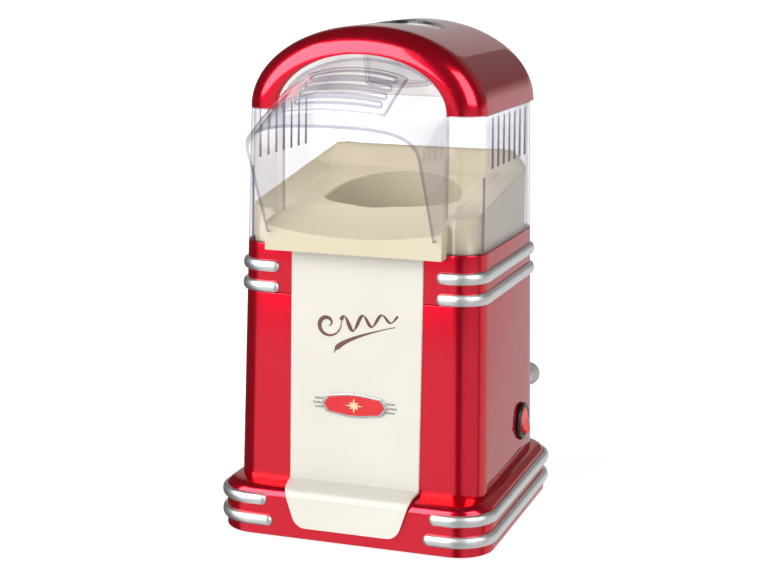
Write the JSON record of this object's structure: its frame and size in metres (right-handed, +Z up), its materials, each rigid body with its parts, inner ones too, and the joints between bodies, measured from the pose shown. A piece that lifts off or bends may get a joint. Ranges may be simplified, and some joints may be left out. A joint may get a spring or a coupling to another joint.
{
  "type": "popcorn maker",
  "caption": "Table-top hot-air popcorn maker with an arched roof, clear hood and pouring visor, dished tray with popping well, stepped base and a side rocker switch.",
  "frame": {"origin": "centre of the footprint box, on the surface that the feet stand on", "axes": "+Z up, -Y the front with the pouring lip and visor, +X the user's right with the on/off switch, +Y the rear with the cord posts"},
  "size_m": [0.1718, 0.2134, 0.3],
  "materials": {
    "red_paint": "glossy metallic red enamel",
    "cream_plastic": "satin cream",
    "tray_plastic": "satin warm cream",
    "silver_trim": "bright satin silver",
    "clear_plastic": "clear, slightly violet at the edges",
    "black_plastic": "satin black",
    "rubber": "matt",
    "steel": "plain",
    "badge_metal": "polished with a red field",
    "grey_plastic": "satin light grey",
    "rocker_plastic": "translucent red",
    "aluminium": "spun",
    "mica_board": "layered mineral board",
    "brass": "plain",
    "heat_plastic": "heat-resistant, matt",
    "circuit_board": "coated board"
  },
  "bodies": {
    "housing": {"base_skirt": "red_paint", "body_shell": "red_paint", "body_collar": "red_paint", "base_apron": "cream_plastic", "front_panel": "cream_plastic", "popcorn_tray": "tray_plastic", "trim_base_upper": "silver_trim", "trim_base_lower": "silver_trim", "trim_collar_upper": "silver_trim", "trim_collar_lower": "silver_trim", "base_plate": "black_plastic", "cord_gland": "black_plastic", "switch_bezel": "black_plastic", "switch_body": "black_plastic", "thermostat": "black_plastic", "motor_end_cap": "black_plastic", "foot_front_left": "rubber", "foot_rear_left": "rubber", "foot_front_right": "rubber", "foot_rear_right": "rubber", "base_screw_front_left": "steel", "base_screw_rear_left": "steel", "base_screw_front_right": "steel", "base_screw_rear_right": "steel", "heater_duct": "steel", "heating_coil": "steel", "motor_can": "steel", "motor_bracket": "steel", "front_badge": "badge_metal", "cord_post_left": "grey_plastic", "cord_post_right": "grey_plastic", "terminal_block": "grey_plastic", "popping_chamber": "aluminium", "mica_frame": "mica_board", "thermal_fuse": "brass", "fan_housing": "heat_plastic", "lower_bush": "brass", "upper_bush": "brass", "rectifier_board": "circuit_board"},
    "hood": {"clear_hood": "clear_plastic", "visor": "clear_plastic", "roof": "red_paint"},
    "cup": {"measuring_cup": "clear_plastic"},
    "rotor": {"motor_shaft": "steel", "fan_impeller": "grey_plastic"},
    "rocker": {"switch_rocker": "rocker_plastic"}
  },
  "joints": [
    {"name": "hood_lift", "type": "slide", "parent": "housing", "child": "hood", "axis": [0, 0, 1], "range_m": [0, 0.08]},
    {"name": "cup_lift", "type": "slide", "parent": "hood", "child": "cup", "axis": [0, 0, 1], "range_m": [0, 0.06]},
    {"name": "fan_spin", "type": "hinge", "parent": "housing", "child": "rotor", "pos_m": [0, 0.0095, 0.05], "axis": [0, 0, 1], "continuous": true},
    {"name": "switch_rock", "type": "hinge", "parent": "housing", "child": "rocker", "pos_m": [0.0757, 0.0384, 0.0553], "axis": [0, 1, 0], "range_deg": [0, 24]}
  ]
}
